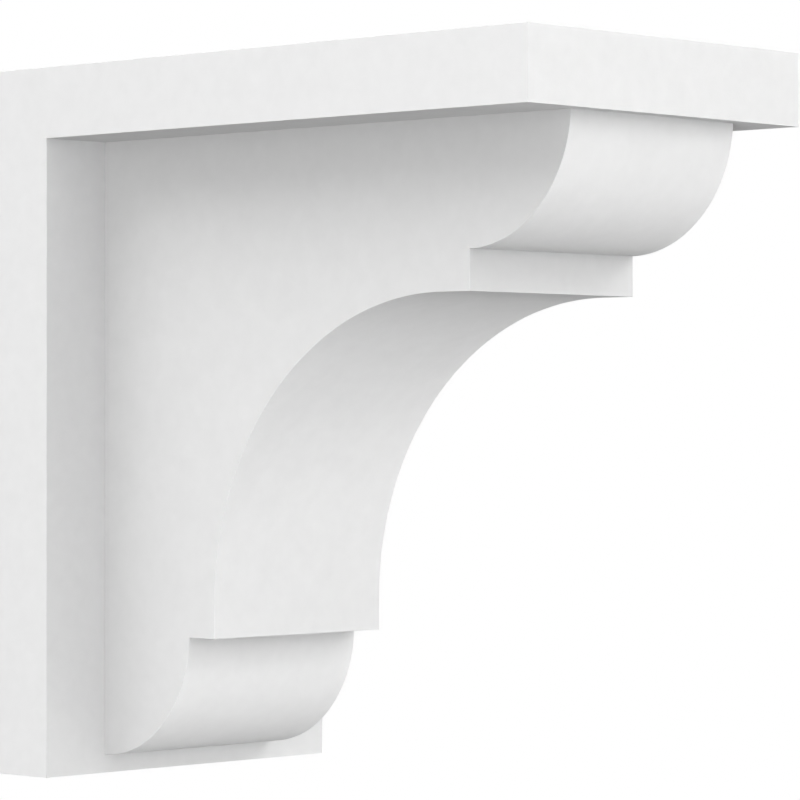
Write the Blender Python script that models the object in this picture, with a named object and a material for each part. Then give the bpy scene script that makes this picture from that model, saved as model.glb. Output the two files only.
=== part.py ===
"""A white wall bracket that carries a shelf, mantel, counter or eave.

Two boards of one thickness stand at a right angle: one lies against the wall, the other carries the load.
A narrower body with a moulded front fills the corner between them.

Metres, +Z up. The origin is the middle of the wall face. The bracket reaches out along -Y, and +X is to the
right for someone who faces the wall. Profile points are written (out, up): out from the wall face, and up
from the bracket's lower end.
"""
import math

import bmesh
import bpy

HEIGHT = 0.2540             # lower end to top face
REACH = 0.2540              # wall face to the top board's front
WIDTH = 0.1412              # both boards, side to side
BOARD = 0.0254              # thickness of both boards
BODY_WIDTH = 0.0846
EASE = 0.0003               # rounding of the open arrises
GLUE_GAP = 0.0003           # between pieces that touch

CROWN_SETBACK = 0.00625     # crown's widest point behind the top board's front
CROWN_OUT = 0.04425         # crown's quarter round, level
CROWN_DROP = 0.0460         # crown's quarter round, upright
CROWN_LOW = 0.1847          # crown's underside above the bracket's lower end
FILLET_HEIGHT = 0.0141      # upright face under the crown
SOFFIT_DEPTH = 0.0135       # flat underside behind the fillet
COVE_RADIUS = 0.10775
BLOCK_HEIGHT = 0.01225      # upright face under the cove
BLOCK_STEP = 0.0127         # step back from the block to the foot
FOOT_DROP = 0.0451          # foot's quarter round, upright
FOOT_LOW = 0.0066           # foot's lower end above the bracket's lower end

FILLET_FACE = REACH - CROWN_SETBACK - CROWN_OUT
FILLET_LOW = CROWN_LOW - FILLET_HEIGHT
COVE_CENTRE = (FILLET_FACE - SOFFIT_DEPTH, FILLET_LOW - COVE_RADIUS)
BLOCK_FACE = COVE_CENTRE[0] - COVE_RADIUS
BLOCK_LOW = COVE_CENTRE[1] - BLOCK_HEIGHT
FOOT_OUT = BLOCK_FACE - BLOCK_STEP - BOARD

CROWN_STEPS = 28
COVE_STEPS = 40
FOOT_STEPS = 28
EASE_STEPS = 2
SHARP_ANGLE = math.radians(25)
SAME_PLACE = 0.00003        # closer than this, two places count as one

WHITE = (0.85, 0.85, 0.85, 1.0)
ROUGHNESS = 0.6


def clear_scene():
    for thing in list(bpy.data.objects):
        bpy.data.objects.remove(thing)


def white_finish(name):
    material = bpy.data.materials.new(name)
    material.use_nodes = True
    shader = material.node_tree.nodes["Principled BSDF"]
    shader.inputs["Base Color"].default_value = WHITE
    shader.inputs["Roughness"].default_value = ROUGHNESS
    shader.inputs["Metallic"].default_value = 0.0
    return material


def same(value, other):
    return abs(value - other) < SAME_PLACE


def extrude_across(outline, width):
    """A closed solid: the outline at both sides of the middle, with a wall between."""
    bm = bmesh.new()
    sides = []
    for across in (-width / 2, width / 2):
        sides.append([bm.verts.new((across, -out, up - HEIGHT / 2)) for out, up in outline])
    left, right = sides
    bm.faces.new(left)
    bm.faces.new(list(reversed(right)))
    for i in range(len(outline)):
        j = (i + 1) % len(outline)
        bm.faces.new((left[j], left[i], right[i], right[j]))
    bmesh.ops.recalc_face_normals(bm, faces=bm.faces[:])
    return bm


def ease(bm, is_open):
    """Rounds the arrises open to the air. is_open tests an edge by its two ends, as (across, out, up)."""
    def place(vert):
        return (vert.co.x, -vert.co.y, vert.co.z + HEIGHT / 2)

    arrises = [edge for edge in bm.edges if is_open(place(edge.verts[0]), place(edge.verts[1]))]
    bmesh.ops.bevel(bm, geom=arrises, offset=EASE, offset_type="OFFSET", segments=EASE_STEPS, profile=0.5,
                    affect="EDGES", clamp_overlap=True)


def add_piece(name, bm):
    mesh = bpy.data.meshes.new(name)
    bm.to_mesh(mesh)
    bm.free()
    mesh.shade_smooth()
    mesh.set_sharp_from_angle(angle=SHARP_ANGLE)
    mesh.materials.append(white_finish(name + "_white"))
    piece = bpy.data.objects.new(name, mesh)
    bpy.context.scene.collection.objects.link(piece)


def back_board():
    """The board on the wall. Its upper end carries the top board, so the arrises there stay sharp."""
    joint = HEIGHT - BOARD - GLUE_GAP

    def is_open(a, b):
        return not (same(a[2], joint) and same(b[2], joint))

    bm = extrude_across([(0, joint), (BOARD, joint), (BOARD, 0), (0, 0)], WIDTH)
    ease(bm, is_open)
    add_piece("back_board", bm)


def top_board():
    """The board that carries the load. Where it lies on the back board, its lower arrises stay sharp."""
    underside = HEIGHT - BOARD

    def is_open(a, b):
        over_back_board = max(a[1], b[1]) < BOARD + SAME_PLACE
        is_glued = over_back_board and same(a[2], underside) and same(b[2], underside)
        lies_in_a_flat_face = same(a[1], BOARD) and same(b[1], BOARD)
        return not (is_glued or lies_in_a_flat_face)

    outline = [(0, HEIGHT), (REACH, HEIGHT), (REACH, underside), (BOARD, underside), (0, underside)]
    bm = extrude_across(outline, WIDTH)
    all_parts = bm.verts[:] + bm.edges[:] + bm.faces[:]
    bmesh.ops.bisect_plane(bm, geom=all_parts, dist=SAME_PLACE, plane_co=(0, -BOARD, 0), plane_no=(0, 1, 0))
    ease(bm, is_open)
    add_piece("top_board", bm)


def quarter(centre, out_radius, up_radius, start, end, steps):
    """Points along an upright ellipse, from one angle to the other, both ends included."""
    points = []
    for i in range(steps + 1):
        angle = start + (end - start) * i / steps
        points.append((centre[0] + out_radius * math.cos(angle), centre[1] + up_radius * math.sin(angle)))
    return points


def bracket_body():
    """The moulded body. The faces glued to the boards keep sharp arrises, and so do its inner corners."""
    back = BOARD + GLUE_GAP
    top = HEIGHT - BOARD - GLUE_GAP

    crown_centre = (FILLET_FACE, CROWN_LOW + CROWN_DROP)
    crown_start = math.asin((top - crown_centre[1]) / CROWN_DROP)
    crown = quarter(crown_centre, CROWN_OUT, CROWN_DROP, crown_start, -math.pi / 2, CROWN_STEPS)
    cove = quarter(COVE_CENTRE, COVE_RADIUS, COVE_RADIUS, math.pi / 2, math.pi, COVE_STEPS)
    foot_centre = (BOARD, FOOT_LOW + FOOT_DROP)
    foot_start = math.asin((BLOCK_LOW - foot_centre[1]) / FOOT_DROP)
    foot_end = -math.acos(GLUE_GAP / FOOT_OUT)
    foot = quarter(foot_centre, FOOT_OUT, FOOT_DROP, foot_start, foot_end, FOOT_STEPS)

    outer_corners = [(FILLET_FACE, FILLET_LOW), (BLOCK_FACE, BLOCK_LOW)]

    def is_open(a, b):
        if same(a[1], back) and same(b[1], back) or same(a[2], top) and same(b[2], top):
            return False
        runs_across = not same(a[0], b[0])
        at_outer_corner = any(same(a[1], out) and same(a[2], up) for out, up in outer_corners)
        return at_outer_corner or not runs_across

    outline = [(back, top)] + crown + outer_corners[:1] + cove + outer_corners[1:] + foot
    bm = extrude_across(outline, BODY_WIDTH)
    ease(bm, is_open)
    add_piece("bracket_body", bm)


clear_scene()
back_board()
top_board()
bracket_body()
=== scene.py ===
import math

import bmesh
import bpy
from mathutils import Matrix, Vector


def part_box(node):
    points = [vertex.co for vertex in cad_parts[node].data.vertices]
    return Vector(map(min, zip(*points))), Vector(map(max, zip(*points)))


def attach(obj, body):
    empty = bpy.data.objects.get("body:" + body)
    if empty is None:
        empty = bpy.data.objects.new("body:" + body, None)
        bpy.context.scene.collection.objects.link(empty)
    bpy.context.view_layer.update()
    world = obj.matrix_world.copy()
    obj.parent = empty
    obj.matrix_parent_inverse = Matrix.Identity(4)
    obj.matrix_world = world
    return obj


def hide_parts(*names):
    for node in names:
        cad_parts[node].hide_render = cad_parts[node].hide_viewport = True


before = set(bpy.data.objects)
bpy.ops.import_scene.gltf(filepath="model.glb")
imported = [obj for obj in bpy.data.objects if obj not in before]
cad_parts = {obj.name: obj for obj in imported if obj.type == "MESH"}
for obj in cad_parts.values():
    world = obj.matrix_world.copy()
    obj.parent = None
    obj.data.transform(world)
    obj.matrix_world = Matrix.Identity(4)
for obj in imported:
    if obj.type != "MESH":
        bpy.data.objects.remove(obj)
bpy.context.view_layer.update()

# The back board lies flat on the wall. It is sawn from white foamed plastic sheet, and its arrises are
# eased with fine paper up to the corner under the top board. That board is glued over its upper end, and
# the joint is filled and painted over, so that it shows as a hairline on the wall face alone.
back_low, back_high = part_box("back_board")
top_low, top_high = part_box("top_board")
joint_height = top_low.z
arris = 0.00008
arris_steps = 4
least_arris = 0.00001
fade_length = 0.007
fade_steps = 8
sharp_angle = math.radians(30)
flat_face_weight = 100

paint_white = 0.84
paint_roughness = 0.55
roughness_change = 0.08
noise_middle = 0.5
cloud_size = 0.012
cloud_detail = 2.0
cloud_depth = 0.036
mottle_size = 0.005
mottle_detail = 3.0
mottle_depth = 0.048
stipple_size = 0.0007
stipple_detail = 2.0
stipple_height = 0.00002
wave_size = 0.012
wave_detail = 1.0
wave_height = 0.00004


class Link:
    """One output of a node in a material. Arithmetic on it adds Math nodes."""

    def __init__(self, tree, socket=None):
        self.tree = tree
        self.socket = socket

    def node(self, kind, settings, inputs, output=0):
        """Adds a node of that type: its settings first, then the values or links of its sockets."""
        made = self.tree.nodes.new(kind)
        for name, value in settings.items():
            setattr(made, name, value)
        for name, value in inputs.items():
            if isinstance(value, Link):
                self.tree.links.new(value.socket, made.inputs[name])
            else:
                made.inputs[name].default_value = value
        return Link(self.tree, made.outputs[output])

    def maths(self, operation, first, second):
        """Adds a Math node for two values or links."""
        return self.node("ShaderNodeMath", {"operation": operation}, {0: first, 1: second})

    def __add__(self, other):
        return self.maths("ADD", self, other)

    def __radd__(self, other):
        return self.maths("ADD", other, self)

    def __sub__(self, other):
        return self.maths("SUBTRACT", self, other)

    def __rsub__(self, other):
        return self.maths("SUBTRACT", other, self)

    def __mul__(self, other):
        return self.maths("MULTIPLY", self, other)

    def __rmul__(self, other):
        return self.maths("MULTIPLY", other, self)


def noise(place, size, detail):
    """Soft blotches of about that size, around zero, from -0.5 to 0.5."""
    blotches = place.node("ShaderNodeTexNoise", {}, {"Vector": place, "Scale": 1 / size, "Detail": detail})
    return blotches - noise_middle


def grey(shade):
    """A colour with that shade in all three channels."""
    return shade.node("ShaderNodeCombineColor", {}, {"Red": shade, "Green": shade, "Blue": shade})


def white_paint(name):
    """A thin coat of white over smooth foamed plastic: faint clouds, mottling and a sprayed stipple."""
    material = bpy.data.materials.new(name)
    material.use_nodes = True
    tree = material.node_tree
    shader = tree.nodes["Principled BSDF"]
    place = Link(tree).node("ShaderNodeTexCoord", {}, {}, "Object")
    clouds = noise(place, cloud_size, cloud_detail)
    mottle = noise(place, mottle_size, mottle_detail)
    shade = paint_white + clouds * cloud_depth + mottle * mottle_depth
    colour = grey(shade)
    roughness = paint_roughness + mottle * roughness_change
    stipple = noise(place, stipple_size, stipple_detail)
    waves = noise(place, wave_size, wave_detail)
    relief = stipple * stipple_height + waves * wave_height
    bump = place.node("ShaderNodeBump", {}, {"Height": relief, "Distance": 1.0, "Strength": 1.0})
    tree.links.new(colour.socket, shader.inputs["Base Color"])
    tree.links.new(roughness.socket, shader.inputs["Roughness"])
    tree.links.new(bump.socket, shader.inputs["Normal"])
    return material


def eased_end(place, inward):
    """Stations along a piece over its eased end: where each lies, and how far its section is drawn in."""
    stations = []
    for i in range(arris_steps + 1):
        angle = math.pi / 2 * i / arris_steps
        along = arris * (1 - math.cos(angle))
        drawn_in = arris * (1 - math.sin(angle))
        stations.append((place + inward * along, drawn_in))
    return stations


def fading_stretch(corner, outward):
    """Stations with the full section, over which an arris fades out towards an inner corner."""
    return [(corner + outward * fade_length * (1 - i / fade_steps), 0.0) for i in range(fade_steps)]


def corner_fade(distance):
    """How much an arris is eased at a distance from an inner corner: nothing in it, in full further out."""
    share = min(max(distance / fade_length, 0.0), 1.0)
    return share * share * (3 - 2 * share)


def arc(centre, radius, start, steps):
    """Points along a quarter circle, anticlockwise from the start angle."""
    angles = [start + math.pi / 2 * i / steps for i in range(steps + 1)]
    return [(centre[0] + radius * math.cos(a), centre[1] + radius * math.sin(a)) for a in angles]


def board_section(low, high, low_radius, high_radius):
    """A rectangle with rounded corners. Its low and its high side each have their own corner radius."""
    low_round = max(low_radius, least_arris)
    high_round = max(high_radius, least_arris)
    return (
        arc((low[0] + low_round, low[1] + low_round), low_round, math.pi, arris_steps)
        + arc((high[0] - low_round, low[1] + low_round), low_round, math.pi * 1.5, arris_steps)
        + arc((high[0] - high_round, high[1] - high_round), high_round, 0.0, arris_steps)
        + arc((low[0] + high_round, high[1] - high_round), high_round, math.pi / 2, arris_steps)
    )


def loft(name, sections, paint):
    """A closed piece through sections of equally many points, with flat ends."""
    shape = bmesh.new()
    rows = [[shape.verts.new(point) for point in section] for section in sections]
    for row, following in zip(rows, rows[1:]):
        for i in range(len(row)):
            j = (i + 1) % len(row)
            shape.faces.new((row[i], row[j], following[j], following[i]))
    shape.faces.new(rows[0])
    shape.faces.new(rows[-1])
    bmesh.ops.recalc_face_normals(shape, faces=shape.faces[:])
    mesh = bpy.data.meshes.new(name)
    shape.to_mesh(mesh)
    shape.free()
    mesh.shade_smooth()
    mesh.set_sharp_from_angle(angle=sharp_angle)
    mesh.materials.append(paint)
    piece = bpy.data.objects.new(name, mesh)
    bpy.context.scene.collection.objects.link(piece)
    flat_light = piece.modifiers.new("flat_light", "WEIGHTED_NORMAL")
    flat_light.mode = "FACE_AREA"
    flat_light.weight = flat_face_weight
    flat_light.keep_sharp = True
    return piece


back_sections = []
back_stations = (
    eased_end(back_low.z, 1)
    + fading_stretch(joint_height, -1)
    + list(reversed(eased_end(joint_height, -1)))
)
for height, inset in back_stations:
    # At the filled joint only the wall face is drawn in.
    is_filled = height > joint_height - fade_length
    open_inset = 0.0 if is_filled else inset
    section = board_section(
        (back_low.x + open_inset, back_low.y + open_inset),
        (back_high.x - open_inset, back_high.y - inset),
        (arris - inset) * corner_fade(joint_height - height),
        arris - inset,
    )
    back_sections.append([(x, y, height) for x, y in section])
back_piece = loft("back_board_painted", back_sections, white_paint("back_board_paint"))
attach(back_piece, "root")
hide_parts("back_board")

# The top board carries the shelf or mantel. It is cut from the same sheet as the back board, and glued over
# that board's upper end and over the body. Its arrises are eased up to the corner that the two boards make.
top_sections = []
top_stations = (
    eased_end(top_high.y, -1)
    + [(back_low.y, 0.0)]
    + list(reversed(fading_stretch(back_low.y, -1)))
    + list(reversed(eased_end(top_low.y, 1)))
)
for reach, inset in top_stations:
    section = board_section(
        (top_low.x + inset, joint_height + inset),
        (top_high.x - inset, top_high.z - inset),
        (arris - inset) * corner_fade(back_low.y - reach),
        arris - inset,
    )
    top_sections.append([(x, reach, z) for x, z in section])
top_piece = loft("top_board_painted", top_sections, white_paint("top_board_paint"))
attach(top_piece, "root")
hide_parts("top_board")

# The body is a thick block of the same plastic, its front cut to a moulded profile: a crown, a fillet, a
# large cove, a block face and a foot. It is glued into the corner of the two boards and painted with them.
body_low, body_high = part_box("bracket_body")
crown_setback = 0.00625
crown_out = 0.04425
crown_drop = 0.0460
crown_low = 0.1847
fillet_height = 0.0141
soffit_depth = 0.0135
cove_radius = 0.10775
block_height = 0.01225
block_step = 0.0127
foot_drop = 0.0451
foot_low = 0.0066
crown_steps = 64
cove_steps = 96
foot_steps = 64

lower_end = back_low.z
fillet_face = top_low.y + crown_setback + crown_out
fillet_low = lower_end + crown_low - fillet_height
crown_centre = (fillet_face, lower_end + crown_low + crown_drop)
cove_centre = (fillet_face + soffit_depth, fillet_low - cove_radius)
block_face = cove_centre[0] + cove_radius
block_low = cove_centre[1] - block_height
foot_centre = (back_low.y, lower_end + foot_low + foot_drop)
foot_out = foot_centre[0] - block_face - block_step


def bulge(centre, out_radius, up_radius, top, steps):
    """Points (y, z) down a quarter round that swells away from the wall, from the height of its top."""
    start = math.asin((top - centre[1]) / up_radius)
    angles = [start - (start + math.pi / 2) * i / steps for i in range(steps + 1)]
    return [(centre[0] - out_radius * math.cos(a), centre[1] + up_radius * math.sin(a)) for a in angles]


def hollow(centre, radius, steps):
    """Points (y, z) down a quarter round that is hollowed out towards the wall."""
    return [(centre[0] + x, centre[1] + z) for x, z in reversed(arc((0.0, 0.0), radius, 0.0, steps))]


def outer_corner(y, z, inset):
    """Points (y, z) around a lower outer corner of the moulding, from its upright face to its underside."""
    radius = max(arris - inset, least_arris)
    return arc((y + inset + radius, z + inset + radius), radius, math.pi, arris_steps)


def body_section(inset):
    """The moulded outline, drawn in from every face that is open to the air."""
    crown = bulge(crown_centre, crown_out - inset, crown_drop - inset, joint_height, crown_steps)
    foot = bulge(foot_centre, foot_out - inset, foot_drop - inset, block_low + inset, foot_steps)
    return (
        [(back_low.y, joint_height)]
        + crown[:-1]
        + [(fillet_face + inset, crown[-1][1])]
        + outer_corner(fillet_face, fillet_low, inset)
        + hollow(cove_centre, cove_radius + inset, cove_steps)
        + outer_corner(block_face, block_low, inset)
        + foot
    )


body_stations = eased_end(body_low.x, 1) + list(reversed(eased_end(body_high.x, -1)))
body_sections = [[(across, y, z) for y, z in body_section(inset)] for across, inset in body_stations]
body_piece = loft("bracket_body_painted", body_sections, white_paint("bracket_body_paint"))
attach(body_piece, "root")
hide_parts("bracket_body")

# The floor is a wide disc two metres below the bracket, which hangs as if on its wall. It is evenly pale,
# and fades far out into the white background. It takes no part in the lighting, so the low softboxes
# shine up through it.
floor_height = -2.0
floor_radius = 24.0
floor_sides = 96
floor_paleness = 0.72
fade_start = 12.0
fade_end = 18.0
disc = bmesh.new()
bmesh.ops.create_circle(disc, cap_ends=True, segments=floor_sides, radius=floor_radius)
bmesh.ops.translate(disc, verts=disc.verts[:], vec=(0, 0, floor_height))
floor_mesh = bpy.data.meshes.new("floor")
disc.to_mesh(floor_mesh)
disc.free()
floor = bpy.data.objects.new("floor", floor_mesh)
bpy.context.scene.collection.objects.link(floor)
floor_paint = bpy.data.materials.new("floor_paint")
floor_paint.use_nodes = True
floor_paint.cycles.emission_sampling = "NONE"
floor_tree = floor_paint.node_tree
floor_shader = floor_tree.nodes["Principled BSDF"]
floor_place = Link(floor_tree).node("ShaderNodeTexCoord", {}, {}, "Object")
distance = floor_place.node("ShaderNodeVectorMath", {"operation": "LENGTH"}, {0: floor_place}, "Value")
paleness = distance.node(
    "ShaderNodeMapRange",
    {"interpolation_type": "SMOOTHSTEP"},
    {
        "Value": distance,
        "From Min": fade_start,
        "From Max": fade_end,
        "To Min": floor_paleness,
        "To Max": 1.0,
    },
)
floor_shader.inputs["Base Color"].default_value = (0.0, 0.0, 0.0, 1.0)
floor_shader.inputs["Specular IOR Level"].default_value = 0.0
floor_shader.inputs["Emission Strength"].default_value = 1.0
floor_tree.links.new(grey(paleness).socket, floor_shader.inputs["Emission Color"])
floor_mesh.materials.append(floor_paint)
floor.visible_diffuse = False
floor.visible_glossy = False
floor.visible_shadow = False

# The studio is white all round. Seven round softboxes light the bracket, each with direct light alone, so
# no face lights another. The high one on the left, behind the wall's plane, leaves the body's side in the
# top board's shade, and the one behind on the right brightens the right side and the wall face.
softbox_distance = 3.0
world = bpy.data.worlds.new("white_studio")
bpy.context.scene.world = world
world.use_nodes = True
world.node_tree.nodes["Background"].inputs["Color"].default_value = (1.0, 1.0, 1.0, 1.0)
world.cycles_visibility.diffuse = False
world.cycles_visibility.glossy = False


def softbox(name, turn, rise, half_width, power):
    """A round area light aimed at the bracket. Angles are in degrees, and turn runs from +X towards +Y."""
    light = bpy.data.lights.new(name, "AREA")
    light.shape = "DISK"
    light.size = 2 * softbox_distance * math.tan(math.radians(half_width))
    light.energy = power
    light.cycles.max_bounces = 0
    light.cycles.use_multiple_importance_sampling = False
    lamp = bpy.data.objects.new(name, light)
    around = math.radians(turn)
    up = math.radians(rise)
    towards = Vector((math.cos(up) * math.cos(around), math.cos(up) * math.sin(around), math.sin(up)))
    lamp.location = towards * softbox_distance
    lamp.rotation_euler = towards.to_track_quat("Z", "Y").to_euler()
    lamp.visible_camera = False
    bpy.context.scene.collection.objects.link(lamp)


softbox("high_left", turn=138.1, rise=58.9, half_width=35.7, power=119.7)
softbox("high_front", turn=-66.5, rise=51.4, half_width=48.3, power=99.2)
softbox("small_front", turn=-48.1, rise=31.2, half_width=7.3, power=13.1)
softbox("low_front", turn=-134.1, rise=-24.3, half_width=45.1, power=153.7)
softbox("low_left", turn=-139.9, rise=-40.0, half_width=6.0, power=8.4)
softbox("low_right", turn=-37.2, rise=-28.8, half_width=13.8, power=8.2)
softbox("back_right", turn=45.0, rise=36.0, half_width=33.0, power=75.0)

# The camera looks at the bracket from its front left, level with its middle, through a long lens. No tone
# mapping is used, so the paint's greys come out as they are lit.
camera_place = (-0.98684, -1.05613, 0.00043)
camera_turn = 46.892
camera_tilt = 0.316
focal_pixels = 3842.0
picture_pixels = 800
film_width = 36.0
camera_data = bpy.data.cameras.new("camera")
camera_data.sensor_width = film_width
camera_data.lens = film_width * focal_pixels / picture_pixels
camera = bpy.data.objects.new("camera", camera_data)
camera.location = camera_place
camera.rotation_euler = (math.radians(90 + camera_tilt), 0, -math.radians(camera_turn))
bpy.context.scene.collection.objects.link(camera)
bpy.context.scene.camera = camera
bpy.context.scene.view_settings.view_transform = "Standard"
